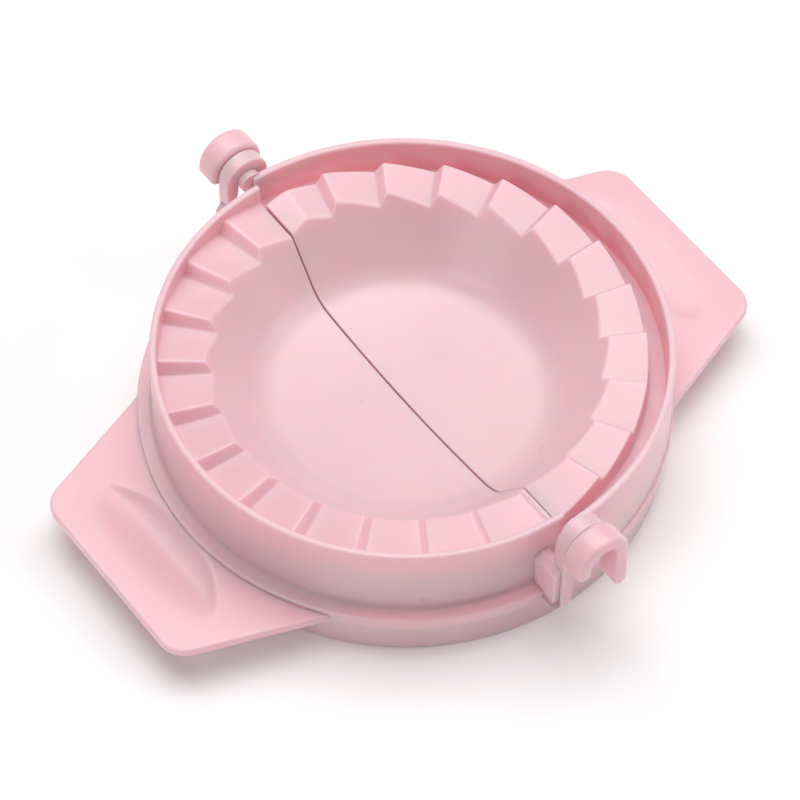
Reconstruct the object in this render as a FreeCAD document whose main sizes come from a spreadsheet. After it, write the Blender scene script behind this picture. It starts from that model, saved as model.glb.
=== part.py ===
import FreeCAD, Part
import math
import os
from types import SimpleNamespace
import Sketcher

# Empanada press: two moulded half rings that lie flat side by side and fold onto each other.
#
# Lengths are in millimetres and angles in degrees. The origin is on the table under the centre of
# the ring, +Z is up, and the hinge axis runs along Y above the origin.
# The base half lies on +X. It carries the grooved rim and both hinge pins with their heads.
# The folding half lies on -X. It carries the plain rim and both hook ears that snap on the pins.
# Each half is drawn in a frame of its own whose +X points away from the hinge.

SIZES = {
    # general wall of the mouldings and the gap between each seam face and the hinge plane
    "wall": 1.8,
    "seam_gap": 0.2,
    # bowl: a shallow cone for its floor, a bevelled corner and a straight wall up to the teeth
    "bowl_floor": 9.2,
    "bowl_foot_radius": 29.1,
    "bowl_corner_bevel": 2.6,
    "dish_angle": 3.95,
    "bowl_wall_angle": 54.0,
    # crimping teeth of the base half, and the dough gap that places the teeth of the other half
    "tooth_length": 7.07,
    "tooth_crest": 26.6,
    "tooth_rise": 2.8,
    "dough_gap": 3.4,
    "tooth_pitch": 15.0,
    "tooth_step_angle": 2.0,
    "tooth_offset_angle": 2.5,
    "tooth_fall_angle": 2.5,
    "seam_bevel_angle": 6.0,
    # rims: the plain rim drops into the groove between the teeth and the grooved rim
    "rim_rise": 1.4,
    "rim_chamfer": 0.35,
    "groove_depth": 6.6,
    "inner_clearance": 1.3,
    "plain_rim_wall": 1.42,
    "outer_clearance": 0.97,
    "grooved_rim_wall": 1.56,
    # flange and foot ring
    "flange_lip": 0.5,
    "flange_top": 10.9,
    "flange_thickness": 2.4,
    "foot_setback": 1.1,
    # wings with their thumb scoops
    "wing_length": 18.4,
    "wing_end_width": 44.0,
    "wing_taper_angle": 19.6,
    "wing_corner_radius": 6.0,
    "wing_drop": 1.0,
    "wing_thickness": 2.0,
    "wing_edge_chamfer": 0.5,
    "scoop_depth": 4.0,
    "scoop_margin": 4.0,
    "scoop_side_margin": 1.5,
    "scoop_bend_length": 5.9,
    "scoop_root_angle": 59.7,
    "scoop_end_angle": 25.2,
    "scoop_floor_length": 4.1,
    "scoop_floor_run": 2.0,
    "scoop_floor_width": 28.0,
    # hinge pins and the heads that keep the ears on them
    "hinge_drop": 0.1,
    "pin_diameter": 4.8,
    "head_radius": 6.05,
    "head_length": 5.6,
    "head_wall": 2.7,
    "head_plate": 1.6,
    "head_plate_drop": 7.0,
    "head_chamfer": 0.9,
    "leg_bevel": 1.0,
    "short_leg_drop": 2.2,
    "long_leg_drop": 11.0,
    # hook ears
    "pin_clearance": 0.05,
    "side_clearance": 0.2,
    "ear_radius": 5.0,
    "ear_thickness": 3.2,
    "slot_clearance": 0.1,
    "snap_grip": 0.2,
    "throat_length": 0.8,
    "lug_width": 1.5,
    "lug_drop": 6.0,
    "lug_slope": 1.6,
    "lug_setback": 0.8,
}

CREST_REACH_SHARE = 1.15
BEVEL_START_SHARE = 0.6
TEETH_PER_HALF = 12
HALF_TURN = 180
TOLERANCE = 1e-4


class Size:
    """A number of the model together with the sheet expression that gives it."""

    def __init__(self, value, text):
        self.value = value
        self.text = text

    def join(self, sign, other, value):
        return Size(value, "(" + self.text + sign + other.text + ")")

    def __add__(self, other):
        other = sized(other)
        return self.join(" + ", other, self.value + other.value)

    def __sub__(self, other):
        other = sized(other)
        return self.join(" - ", other, self.value - other.value)

    def __mul__(self, other):
        other = sized(other)
        return self.join(" * ", other, self.value * other.value)

    def __truediv__(self, other):
        other = sized(other)
        return self.join(" / ", other, self.value / other.value)

    def __rmul__(self, other):
        return sized(other) * self

    def __neg__(self):
        return Size(-self.value, "(-1 * " + self.text + ")")


def sized(number):
    """Give a plain number the form of a size."""
    if isinstance(number, Size):
        return number
    return Size(float(number), repr(number))


def sine(angle):
    return Size(math.sin(math.radians(angle.value)), "sin(" + angle.text + ")")


def cosine(angle):
    return Size(math.cos(math.radians(angle.value)), "cos(" + angle.text + ")")


def tangent(angle):
    return Size(math.tan(math.radians(angle.value)), "tan(" + angle.text + ")")


def root(number):
    return Size(math.sqrt(number.value), "sqrt(" + number.text + ")")


def write_sheet(document):
    """Fill the sheet of driving dimensions and return its sizes by name."""
    sheet = document.addObject("Spreadsheet::Sheet", "Sizes")
    sizes = {}
    for row, (name, value) in enumerate(SIZES.items(), start=1):
        sheet.set("A" + str(row), name)
        sheet.set("B" + str(row), str(value))
        sheet.setAlias("B" + str(row), name)
        sizes[name] = Size(value, "Sizes." + name)
    document.recompute()
    return SimpleNamespace(**sizes)


def derive(size):
    """Add the sizes that follow from the driving ones."""
    # the foot of the bowl wall, and the heights that follow from the teeth of the base half
    size.bowl_foot_height = size.bowl_floor + size.bowl_foot_radius * tangent(size.dish_angle)
    size.rim_height = size.tooth_crest + size.rim_rise
    size.groove_floor = size.tooth_crest - size.groove_depth
    size.hinge_height = size.tooth_crest - size.hinge_drop
    # the radii from the teeth outwards: two rims, flange and foot ring
    size.tooth_outer_radius = bowl_edge_radius(size, size.tooth_crest) + size.tooth_length
    size.plain_rim_inner = size.tooth_outer_radius + size.inner_clearance
    size.plain_rim_outer = size.plain_rim_inner + size.plain_rim_wall
    size.groove_outer = size.plain_rim_outer + size.outer_clearance
    size.grooved_rim_outer = size.groove_outer + size.grooved_rim_wall
    size.flange_radius = size.grooved_rim_outer + size.flange_lip
    size.foot_radius = size.flange_radius - size.foot_setback
    size.foot_inner = size.foot_radius - size.wall
    # the teeth of the folding half, which close one dough gap above the valleys of the base half
    size.folding_crest = 2 * size.hinge_height - size.dough_gap - size.tooth_crest + size.tooth_rise
    size.flange_bottom = size.flange_top - size.flange_thickness
    size.wing_top = size.flange_top - size.wing_drop
    size.wing_bottom = size.wing_top - size.wing_thickness
    size.wing_reach = size.flange_radius + size.wing_length
    size.scoop_bend_reach = size.flange_radius + size.scoop_bend_length
    size.scoop_reach = size.wing_reach - size.scoop_margin
    size.scoop_width = size.wing_end_width - 2 * size.scoop_side_margin
    # places along the hinge axis, counted outwards from the middle of the press
    size.ear_inner_face = size.flange_radius + size.side_clearance
    size.ear_outer_face = size.ear_inner_face + size.ear_thickness
    size.head_inner_face = size.ear_outer_face + size.side_clearance
    size.pin_root = size.grooved_rim_outer - size.grooved_rim_wall / 3
    return size


def at(x, y):
    """A corner of an outline that a straight line reaches."""
    return SimpleNamespace(x=x, y=y, centre=None)


def arc_to(x, y, centre_x, centre_y, turn, held):
    """A corner that an arc reaches: its centre, its turn (1 or -1) and the coordinate it holds."""
    return SimpleNamespace(x=x, y=y, centre=(centre_x, centre_y), turn=turn, held=held)


def plain(number):
    return number.value if isinstance(number, Size) else float(number)


def hold(sketch, geometry, point, x=None, y=None):
    """Bind the coordinates of a sketch point to the sheet."""
    for kind, axis, number in (("DistanceX", -2, x), ("DistanceY", -1, y)):
        if number is None:
            continue
        if not isinstance(number, Size):
            sketch.addConstraint(Sketcher.Constraint("PointOnObject", geometry, point, axis))
            continue
        constraint = Sketcher.Constraint(kind, -1, 1, geometry, point, number.value)
        index = sketch.addConstraint(constraint)
        sketch.setExpression("Constraints[" + str(index) + "]", number.text)


def outline(sketch, *corners):
    """Draw a closed loop through the corners, in order."""
    ends = []
    for index, corner in enumerate(corners):
        after = corners[(index + 1) % len(corners)]
        first = FreeCAD.Vector(plain(corner.x), plain(corner.y), 0)
        last = FreeCAD.Vector(plain(after.x), plain(after.y), 0)
        if after.centre is None:
            geometry = sketch.addGeometry(Part.LineSegment(first, last), False)
            ends.append((geometry, 1, 2))
            continue
        middle = FreeCAD.Vector(plain(after.centre[0]), plain(after.centre[1]), 0)
        angles = [math.atan2(end.y - middle.y, end.x - middle.x) for end in (first, last)]
        radius = (first - middle).Length
        points = (1, 2)
        if after.turn < 0:
            angles.reverse()
            points = (2, 1)
        circle = Part.Circle(middle, FreeCAD.Vector(0, 0, 1), radius)
        geometry = sketch.addGeometry(Part.ArcOfCircle(circle, angles[0], angles[1]), False)
        ends.append((geometry, points[0], points[1]))
    for index, corner in enumerate(corners):
        geometry, start, _ = ends[index]
        before, _, finish = ends[index - 1]
        sketch.addConstraint(Sketcher.Constraint("Coincident", before, finish, geometry, start))
        hold(sketch, geometry, start, corner.x, corner.y)
    for index, corner in enumerate(corners):
        if corner.centre is not None:
            held = dict(zip("xy", corner.centre))
            hold(sketch, ends[index - 1][0], 3, **{corner.held: held[corner.held]})


def disc(sketch, x, y, radius):
    """Draw a full circle."""
    middle = FreeCAD.Vector(plain(x), plain(y), 0)
    circle = Part.Circle(middle, FreeCAD.Vector(0, 0, 1), radius.value)
    geometry = sketch.addGeometry(circle, False)
    hold(sketch, geometry, 3, x, y)
    index = sketch.addConstraint(Sketcher.Constraint("Radius", geometry, radius.value))
    sketch.setExpression("Constraints[" + str(index) + "]", radius.text)


def origin_part(body, role):
    """Find a plane or an axis of the body's own origin."""
    for item in body.Origin.OriginFeatures:
        if item.Role == role:
            return item
    raise ValueError(role)


def new_sketch(body, name, role, shift=None, turn=None):
    """Attach a sketch to an origin plane, moved along its normal and turned about the Z axis."""
    sketch = body.newObject("Sketcher::SketchObject", name)
    sketch.AttachmentSupport = [(origin_part(body, role), "")]
    sketch.MapMode = "FlatFace"
    if turn is not None:
        up = FreeCAD.Vector(0, 1, 0)
        rotation = FreeCAD.Rotation(up, turn.value)
        place = rotation.multVec(FreeCAD.Vector(0, 0, shift.value))
        sketch.AttachmentOffset = FreeCAD.Placement(place, rotation)
        sketch.setExpression("AttachmentOffset.Base.x", (shift * sine(turn)).text)
        sketch.setExpression("AttachmentOffset.Base.z", (shift * cosine(turn)).text)
        sketch.setExpression("AttachmentOffset.Rotation.Angle", turn.text)
    elif shift is not None:
        sketch.setExpression("AttachmentOffset.Base.z", shift.text)
    return sketch


def feature(body, kind, name, **settings):
    """Add a feature to the body, with its sizes bound to the sheet."""
    item = body.newObject("PartDesign::" + kind, name)
    for key, value in settings.items():
        if isinstance(value, Size):
            item.setExpression(key, value.text)
        else:
            setattr(item, key, value)
    body.Document.recompute()
    return item


def revolve_half(body, name, sketch):
    """Turn a profile through the half circle on +X."""
    axis = (sketch, ["V_Axis"])
    return feature(
        body, "Revolution", name, Profile=sketch, ReferenceAxis=axis, Midplane=True, Angle=HALF_TURN)


def ring_edges(shape, radius, height):
    """Name the edges that run round the Z axis at this radius and height."""
    names = []
    for index, edge in enumerate(shape.Edges, start=1):
        if edge.Degenerated or not isinstance(edge.Curve, Part.Circle):
            continue
        middle = edge.Curve.Center
        centred = math.hypot(middle.x, middle.y) < TOLERANCE
        if centred and near(edge.Curve.Radius, radius) and near(middle.z, height):
            names.append("Edge" + str(index))
    return names


def edges_where(shape, test):
    """Name the edges whose two end points both pass a test."""
    names = []
    for index, edge in enumerate(shape.Edges, start=1):
        if not edge.Degenerated and all(test(vertex.Point) for vertex in edge.Vertexes):
            names.append("Edge" + str(index))
    return names


def near(number, size):
    """Tell whether a measured number equals a size."""
    return abs(number - size.value) < TOLERANCE


def fillet(body, name, base, edges, radius):
    if not edges:
        raise ValueError(name + " found no edges")
    return feature(body, "Fillet", name, Base=(base, edges), Radius=radius)


def chamfer(body, name, base, edges, length):
    if not edges:
        raise ValueError(name + " found no edges")
    return feature(body, "Chamfer", name, Base=(base, edges), Size=length)


def bowl_edge_radius(size, height):
    """Radius of the bowl wall at a height."""
    return size.bowl_foot_radius + (height - size.bowl_foot_height) / tangent(size.bowl_wall_angle)


def shell_profile(body, size, crest, outside, underside):
    """Draw the section of a half: bowl and tooth ring, the outside given, and the hollow below."""
    sketch = new_sketch(body, "ShellSection", "XZ_Plane")
    ceiling = crest - size.tooth_rise - size.wall
    middle_angle = (size.dish_angle + size.bowl_wall_angle) / 2
    half_corner = (size.bowl_wall_angle - size.dish_angle) / 2
    reach = size.wall / cosine(half_corner)
    lower_radius = size.bowl_foot_radius + reach * sine(middle_angle)
    lower_height = size.bowl_foot_height - reach * cosine(middle_angle)
    ceiling_radius = bowl_edge_radius(size, ceiling) + size.wall / sine(size.bowl_wall_angle)
    outline(
        sketch,
        at(0, size.bowl_floor),
        at(size.bowl_foot_radius, size.bowl_foot_height),
        at(bowl_edge_radius(size, crest), crest),
        *outside,
        at(size.foot_radius, 0),
        at(size.foot_inner, 0),
        *underside,
        at(ceiling_radius, ceiling),
        at(lower_radius, lower_height),
        at(0, size.bowl_floor - size.wall / cosine(size.dish_angle)),
    )
    return sketch


def wing_outline(body, size):
    """Draw the wing's plan: a taper that narrows to the straight outer edge."""
    sketch = new_sketch(body, "WingPlan", "XY_Plane", shift=size.wing_bottom)
    half_end = size.wing_end_width / 2
    # each side runs in until it meets the inside of the foot ring
    slope = tangent(size.wing_taper_angle)
    middle_width = half_end + size.wing_reach * slope
    stretch = slope * slope + 1
    across = root(size.foot_inner * size.foot_inner * stretch - middle_width * middle_width)
    root_reach = (slope * middle_width + across) / stretch
    half_root = middle_width - root_reach * slope
    outline(
        sketch,
        at(root_reach, -half_root),
        at(size.wing_reach, -half_end),
        at(size.wing_reach, half_end),
        at(root_reach, half_root),
    )
    return sketch


def scoop_section(body, name, size, height, width, reaches, spread):
    """Draw a level section of the thumb scoop, widest at its bend and spread out by a wall."""
    sketch = new_sketch(body, name, "XY_Plane", shift=height)
    root_reach, bend, end = reaches
    end = end + spread
    half = width / 2 + spread
    half_root = half - (bend - root_reach) * tangent(size.scoop_root_angle)
    half_end = half - (end - bend) * tangent(size.scoop_end_angle)
    outline(
        sketch,
        at(root_reach, -half_root),
        at(bend, -half),
        at(end, -half_end),
        at(end, half_end),
        at(bend, half),
        at(root_reach, half_root),
    )
    return sketch


def scoop_loft(body, kind, name, size, spread, drop):
    """Loft the scoop from its mouth in the wing to its narrow floor, which lies nearer the ring."""
    mouth_height = size.wing_top - drop
    mouth_reaches = (size.foot_radius, size.scoop_bend_reach, size.scoop_reach)
    mouth = scoop_section(
        body, name + "Mouth", size, mouth_height, size.scoop_width, mouth_reaches, spread)
    floor_root = size.flange_radius + size.scoop_floor_length
    floor_middle = floor_root + size.scoop_floor_run / 2
    floor_reaches = (floor_root, floor_middle, floor_root + size.scoop_floor_run)
    bottom = scoop_section(
        body, name + "Floor", size, mouth_height - size.scoop_depth, size.scoop_floor_width,
        floor_reaches, spread)
    return feature(body, kind, name, Profile=mouth, Sections=[bottom], Ruled=True)


def is_upright(edge):
    return edge.BoundBox.ZLength > edge.BoundBox.XLength + edge.BoundBox.YLength


def on_wing_rim(point, size):
    """Tell whether a point is on the wing's free edge: its straight sides and rounded corners."""
    level = near(point.z, size.wing_top) or near(point.z, size.wing_bottom)
    half_end = size.wing_end_width.value / 2
    slope = math.tan(math.radians(size.wing_taper_angle.value))
    side = half_end + (size.wing_reach.value - point.x) * slope
    return level and (near(point.x, size.wing_reach) or abs(abs(point.y) - side) < TOLERANCE)


def wing(body, size):
    """Make the wing with its thumb scoop, open where the ring stands."""
    plan = wing_outline(body, size)
    plate = feature(body, "Pad", "WingPlate", Profile=plan, Length=size.wing_thickness)
    corners = edges_where(plate.Shape, lambda point: near(point.x, size.wing_reach))
    corners = [name for name in corners if is_upright(plate.Shape.getElement(name))]
    plate = fillet(body, "WingCorners", plate, corners, size.wing_corner_radius)
    rim = edges_where(plate.Shape, lambda point: on_wing_rim(point, size))
    chamfer(body, "WingEdges", plate, rim, size.wing_edge_chamfer)
    scoop_loft(body, "AdditiveLoft", "ScoopPan", size, size.wall / 2, size.wing_thickness)
    scoop_loft(body, "SubtractiveLoft", "Scoop", size, sized(0), sized(0))
    opening = new_sketch(body, "RingOpeningPlan", "XY_Plane")
    disc(opening, 0, 0, size.foot_radius - size.wall / 2)
    feature(
        body, "Pocket", "RingOpening", Profile=opening, SideType="Symmetric",
        Length=2 * size.rim_height)


def tooth_section(body, name, size, crest, centre, distance, points):
    """Draw the cut above the teeth on a plane square to the cut's own radius."""
    sketch = new_sketch(body, name, "YZ_Plane", shift=distance, turn=centre)
    rise = size.tooth_rise * distance / size.tooth_outer_radius
    fall = (distance - size.tooth_outer_radius) * tangent(size.tooth_fall_angle)
    low = crest - (size.tooth_rise + rise) / 2 + fall
    line = [(distance * tangent(angle), low + rise * share) for angle, share in points]
    # the first and last slopes run on past their crests, so that neighbouring cuts meet there
    first = extend(line[1], line[0])
    last = extend(line[-2], line[-1])
    top = crest + size.tooth_rise
    path = [first] + line[1:-1] + [last]
    corners = [at(first[0], top)]
    corners += [at(x, y) for x, y in path]
    corners += [at(last[0], top)]
    outline(sketch, *corners)
    return sketch


def extend(inner, outer):
    """Move the outer point on along the line from the inner one."""
    x = inner[0] + (outer[0] - inner[0]) * CREST_REACH_SHARE
    y = inner[1] + (outer[1] - inner[1]) * CREST_REACH_SHARE
    return x, y


def tooth_cut(body, name, size, crest, centre, outer, points):
    """Loft one cut from inside the bowl edge to beyond the teeth's outer ends."""
    inner = bowl_edge_radius(size, crest - size.tooth_rise) - size.wall
    inner_section = tooth_section(body, name + "Inner", size, crest, centre, inner, points)
    outer_section = tooth_section(body, name + "Outer", size, crest, centre, outer, points)
    return feature(
        body, "SubtractiveLoft", name, Profile=inner_section, Sections=[outer_section], Ruled=True)


def teeth(body, size, crest, offset, outer):
    """Cut the sawtooth facets: each rises through a pitch and then drops by one drafted step."""
    half_step = size.tooth_step_angle / 2
    half_pitch = size.tooth_pitch / 2
    points = [
        (-(half_pitch + half_step), sized(1)),
        (-(half_pitch - half_step), sized(0)),
        (half_pitch - half_step, sized(1)),
    ]
    spread = size.tooth_pitch * (TEETH_PER_HALF - 1)
    centre = -spread / 2 - offset
    cut = tooth_cut(body, "ToothCut", size, crest, centre, outer, points)
    pattern = feature(
        body, "PolarPattern", "Teeth", Originals=[cut], Axis=(origin_part(body, "Z_Axis"), [""]),
        Mode="Extent", Angle=spread, Occurrences=TEETH_PER_HALF)
    body.Tip = pattern
    return pattern


def seam_cut(body, size):
    """Open the gap between the seam face and the hinge plane."""
    sketch = new_sketch(body, "SeamPlan", "YZ_Plane")
    side = size.flange_radius + size.wall
    outline(
        sketch,
        at(-side, -size.wall),
        at(side, -size.wall),
        at(side, size.rim_height + size.wall),
        at(-side, size.rim_height + size.wall),
    )
    feature(body, "Pocket", "Seam", Profile=sketch, SideType="Symmetric", Length=2 * size.seam_gap)


def mirror_hinge(body, features):
    """Repeat the hinge features at the other end of the hinge axis."""
    plane = (origin_part(body, "XZ_Plane"), [""])
    mirrored = feature(body, "Mirrored", "OtherEnd", Originals=features, MirrorPlane=plane)
    body.Tip = mirrored
    return mirrored


def base_half(document, size):
    """The half with the grooved rim, whose hinge pins end in arched heads."""
    body = document.addObject("PartDesign::Body", "BaseHalf")
    body.Label = "base_half_with_hinge_pins"
    wing(body, size)
    crest = size.tooth_crest
    tooth_inner_wall = size.tooth_outer_radius - size.wall
    outside = [
        at(size.tooth_outer_radius, crest),
        at(size.tooth_outer_radius, size.groove_floor),
        at(size.groove_outer, size.groove_floor),
        at(size.groove_outer, size.rim_height),
        at(size.grooved_rim_outer, size.rim_height),
        at(size.grooved_rim_outer, size.flange_top),
        at(size.flange_radius, size.flange_top),
        at(size.flange_radius, size.flange_bottom),
        at(size.foot_radius, size.flange_bottom),
    ]
    groove_underside = size.groove_floor - size.wall
    underside = [
        at(size.foot_inner, groove_underside),
        at(tooth_inner_wall, groove_underside),
        at(tooth_inner_wall, crest - size.tooth_rise - size.wall),
    ]
    shell = revolve_half(body, "Shell", shell_profile(body, size, crest, outside, underside))
    corner = ring_edges(shell.Shape, size.bowl_foot_radius, size.bowl_foot_height)
    shell = chamfer(body, "BowlCorner", shell, corner, size.bowl_corner_bevel)
    edges = ring_edges(shell.Shape, size.groove_outer, size.rim_height)
    edges += ring_edges(shell.Shape, size.grooved_rim_outer, size.rim_height)
    chamfer(body, "RimEdges", shell, edges, size.rim_chamfer)
    teeth(body, size, crest, sized(0), size.plain_rim_inner)
    bevel = size.seam_bevel_angle
    points = [(-bevel, sized(BEVEL_START_SHARE)), (sized(0), sized(0)), (bevel, sized(0))]
    seam_angle = size.tooth_pitch * TEETH_PER_HALF / 2
    tooth_cut(body, "SeamBevel", size, crest, seam_angle, size.plain_rim_inner, points)
    seam_cut(body, size)
    hinge_pins(body, size)
    return body


def hinge_pins(body, size):
    """Make the near pin and head, and mirror them to the far end."""
    pin_sketch = new_sketch(body, "PinSection", "XZ_Plane", shift=size.pin_root)
    disc(pin_sketch, 0, size.hinge_height, size.pin_diameter / 2)
    reach = size.head_inner_face + size.head_plate - size.pin_root
    pin = feature(body, "Pad", "Pin", Profile=pin_sketch, Length=reach)
    plate = head_plate(body, size)
    long_section = head_section(body, "LongLegSection", size, 1)
    axis = (long_section, ["V_Axis"])
    arch = feature(
        body, "Revolution", "HeadArch", Profile=long_section, ReferenceAxis=axis, Angle=HALF_TURN,
        Reversed=True)
    long_leg = feature(
        body, "Pad", "LongLeg", Profile=long_section, Length=size.long_leg_drop, Reversed=True)
    short_section = head_section(body, "ShortLegSection", size, -1)
    short_leg = feature(
        body, "Pad", "ShortLeg", Profile=short_section, Length=size.short_leg_drop, Reversed=True)
    both = mirror_hinge(body, [pin, plate, arch, long_leg, short_leg])
    finish_legs(body, size, both)


def head_plate(body, size):
    """Make the plate that closes the head towards the ear: round above and straight below."""
    sketch = new_sketch(body, "HeadPlateSection", "XZ_Plane", shift=size.head_inner_face)
    half = size.head_radius - size.head_wall / 2
    bottom = size.hinge_height - size.head_plate_drop
    outline(
        sketch,
        at(half, size.hinge_height),
        arc_to(-half, size.hinge_height, 0, size.hinge_height, 1, "y"),
        at(-half, size.hinge_height - size.short_leg_drop / 2),
        at(-size.pin_diameter / 2, bottom),
        at(half, bottom),
    )
    return feature(body, "Pad", "HeadPlate", Profile=sketch, Length=size.head_plate)


def head_section(body, name, size, side):
    """Draw the level section of the head's wall on one side of the axis, its outer corners cut."""
    sketch = new_sketch(body, name, "XY_Plane", shift=size.hinge_height)
    inner = side * (size.head_radius - size.head_wall)
    outer = side * size.head_radius
    flat = side * (size.head_radius - size.head_chamfer)
    back = -size.head_inner_face
    front = back - size.head_length
    outline(
        sketch,
        at(inner, front),
        at(flat, front),
        at(outer, front + size.head_chamfer),
        at(outer, back - size.head_chamfer),
        at(flat, back),
        at(inner, back),
    )
    return sketch


def finish_legs(body, size, base):
    """Bevel the outer ends of the legs."""
    long_end = size.hinge_height - size.long_leg_drop
    short_end = size.hinge_height - size.short_leg_drop
    outer = edges_where(
        base.Shape, lambda point: near(point.z, long_end) and near(point.x, size.head_radius))
    outer += edges_where(
        base.Shape, lambda point: near(point.z, short_end) and near(point.x, -size.head_radius))
    chamfer(body, "LegEnds", base, outer, size.leg_bevel)


def folding_half(document, size):
    """The half with the plain rim, whose hook ears hang on the pins."""
    body = document.addObject("PartDesign::Body", "FoldingHalf")
    body.Label = "folding_half_with_hook_ears"
    wing(body, size)
    crest = size.folding_crest
    inner_wall = size.plain_rim_outer - size.wall
    outside = [
        at(size.plain_rim_outer, crest),
        at(size.plain_rim_outer, size.flange_top),
        at(size.flange_radius, size.flange_top),
        at(size.flange_radius, size.flange_bottom),
        at(size.foot_radius, size.flange_bottom),
    ]
    ledge_underside = size.flange_top - size.wall
    underside = [
        at(size.foot_inner, ledge_underside),
        at(inner_wall, ledge_underside),
        at(inner_wall, crest - size.tooth_rise - size.wall),
    ]
    shell = revolve_half(body, "Shell", shell_profile(body, size, crest, outside, underside))
    corner = ring_edges(shell.Shape, size.bowl_foot_radius, size.bowl_foot_height)
    chamfer(body, "BowlCorner", shell, corner, size.bowl_corner_bevel)
    teeth(body, size, crest, size.tooth_offset_angle, size.plain_rim_outer + size.outer_clearance / 2)
    rim_sketch = new_sketch(body, "RimSection", "XZ_Plane")
    outline(
        rim_sketch,
        at(size.plain_rim_inner, size.groove_floor),
        at(size.plain_rim_outer, size.groove_floor),
        at(size.plain_rim_outer, size.rim_height),
        at(size.plain_rim_inner, size.rim_height),
    )
    rim = revolve_half(body, "Rim", rim_sketch)
    edges = ring_edges(rim.Shape, size.plain_rim_inner, size.rim_height)
    edges += ring_edges(rim.Shape, size.plain_rim_outer, size.rim_height)
    chamfer(body, "RimEdges", rim, edges, size.rim_chamfer)
    seam_cut(body, size)
    hook_ears(body, size)
    body.Placement = FreeCAD.Placement(FreeCAD.Vector(0, 0, 0), FreeCAD.Rotation(HALF_TURN, 0, 0))
    return body


def hook_ears(body, size):
    """Make the near ear, open downwards, with the lug that joins it to the wall."""
    sketch = new_sketch(body, "EarSection", "XZ_Plane", shift=size.ear_inner_face)
    axis = size.hinge_height
    seat = size.pin_diameter / 2 + size.pin_clearance
    throat = size.pin_diameter / 2 - size.snap_grip
    slot = size.pin_diameter / 2 + size.slot_clearance
    lip_top = axis - root(seat * seat - throat * throat)
    lip_bottom = lip_top - size.throat_length
    outline(
        sketch,
        at(size.ear_radius, axis),
        arc_to(-size.ear_radius, axis, 0, axis, 1, "y"),
        at(-size.ear_radius, size.flange_bottom),
        at(-slot, size.flange_bottom),
        at(-slot, lip_bottom - slot),
        at(-throat, lip_bottom),
        at(-throat, lip_top),
        arc_to(throat, lip_top, 0, axis, -1, "y"),
        at(throat, lip_bottom),
        at(slot, lip_bottom - slot),
        at(slot, size.flange_bottom),
        at(size.ear_radius, size.flange_bottom),
    )
    ear = feature(body, "Pad", "Ear", Profile=sketch, Length=size.ear_thickness)
    start = size.plain_rim_outer - size.wall
    lug_height = axis - size.lug_drop
    lug_sketch = new_sketch(body, "LugSection", "XZ_Plane", shift=start)
    outline(
        lug_sketch,
        at(size.ear_radius - size.lug_width, size.flange_bottom),
        at(size.ear_radius + size.lug_width, size.flange_bottom),
        at(size.ear_radius + size.lug_width, lug_height - size.lug_slope),
        at(size.ear_radius, lug_height),
        at(size.ear_radius - size.lug_width, lug_height),
    )
    reach = size.ear_outer_face - size.lug_setback - start
    lug = feature(body, "Pad", "Lug", Profile=lug_sketch, Length=reach)
    foot_sketch = new_sketch(body, "EarFootSection", "XZ_Plane", shift=start)
    outline(
        foot_sketch,
        at(slot, size.flange_bottom),
        at(size.ear_radius + size.lug_width, size.flange_bottom),
        at(size.ear_radius + size.lug_width, size.flange_top),
        at(slot, size.flange_top),
    )
    foot = feature(body, "Pad", "EarFoot", Profile=foot_sketch, Length=reach)
    mirror_hinge(body, [ear, lug, foot])


def check(document, bodies):
    """Stop if any object failed or a half is not one valid solid."""
    for item in document.Objects:
        if "Invalid" in item.State or "Error" in item.State:
            raise RuntimeError(item.Label + " failed: " + str(item.State))
    for body in bodies:
        shape = body.Shape
        if shape.isNull() or not shape.isValid() or len(shape.Solids) != 1:
            raise RuntimeError(body.Label + " is not one valid solid")


def main():
    os.makedirs("parts", exist_ok=True)
    document = FreeCAD.newDocument("EmpanadaPress")
    size = derive(write_sheet(document))
    bodies = [base_half(document, size), folding_half(document, size)]
    document.recompute()
    check(document, bodies)
    for body in bodies:
        body.Shape.exportStep(os.path.join("parts", body.Label + ".step"))
        box = body.Shape.BoundBox
        print(body.Label, "volume", round(body.Shape.Volume), "box", box)


main()
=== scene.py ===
"""Visible surfaces, finish, studio and camera of an empanada press.

The press is two injection-moulded halves that lie flat side by side and fold onto each other: a base
half on +X with the grooved rim and the hinge pins, and a folding half on -X with the plain rim and the
hook ears. Every surface is worked out in millimetres with numpy in the half's own frame, whose +X points
away from the hinge, and is turned to its side and put into metres when its mesh is made.
"""

import logging
import math
from dataclasses import dataclass, field
from enum import Enum

import bpy
import numpy as np
from mathutils import Matrix


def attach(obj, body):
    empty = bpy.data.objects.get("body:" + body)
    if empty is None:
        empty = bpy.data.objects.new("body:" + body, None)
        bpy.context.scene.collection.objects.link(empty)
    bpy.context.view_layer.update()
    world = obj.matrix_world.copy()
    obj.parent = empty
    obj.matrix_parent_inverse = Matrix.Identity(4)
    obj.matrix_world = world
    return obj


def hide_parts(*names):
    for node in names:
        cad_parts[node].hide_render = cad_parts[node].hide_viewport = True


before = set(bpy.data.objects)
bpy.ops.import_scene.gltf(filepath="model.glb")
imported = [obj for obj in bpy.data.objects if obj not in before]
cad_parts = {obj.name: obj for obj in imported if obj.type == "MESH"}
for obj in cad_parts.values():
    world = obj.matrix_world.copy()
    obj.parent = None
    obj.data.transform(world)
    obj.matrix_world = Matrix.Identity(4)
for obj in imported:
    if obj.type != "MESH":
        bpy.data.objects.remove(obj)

MM = 0.001
TINY = 1e-9
FLAT_MARGIN = 0.12  # How far, in mm, a corner's extra points stand from its arc at most,
MARGIN_SHARE = 0.3  # and at most this share of its radius or of the flat that is left beside it.
ROUND_POINTS = 49  # Points of a full circle, the first one counted twice,
OVER_POINTS = 33  # of the half circle over the hinge axis,
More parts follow.
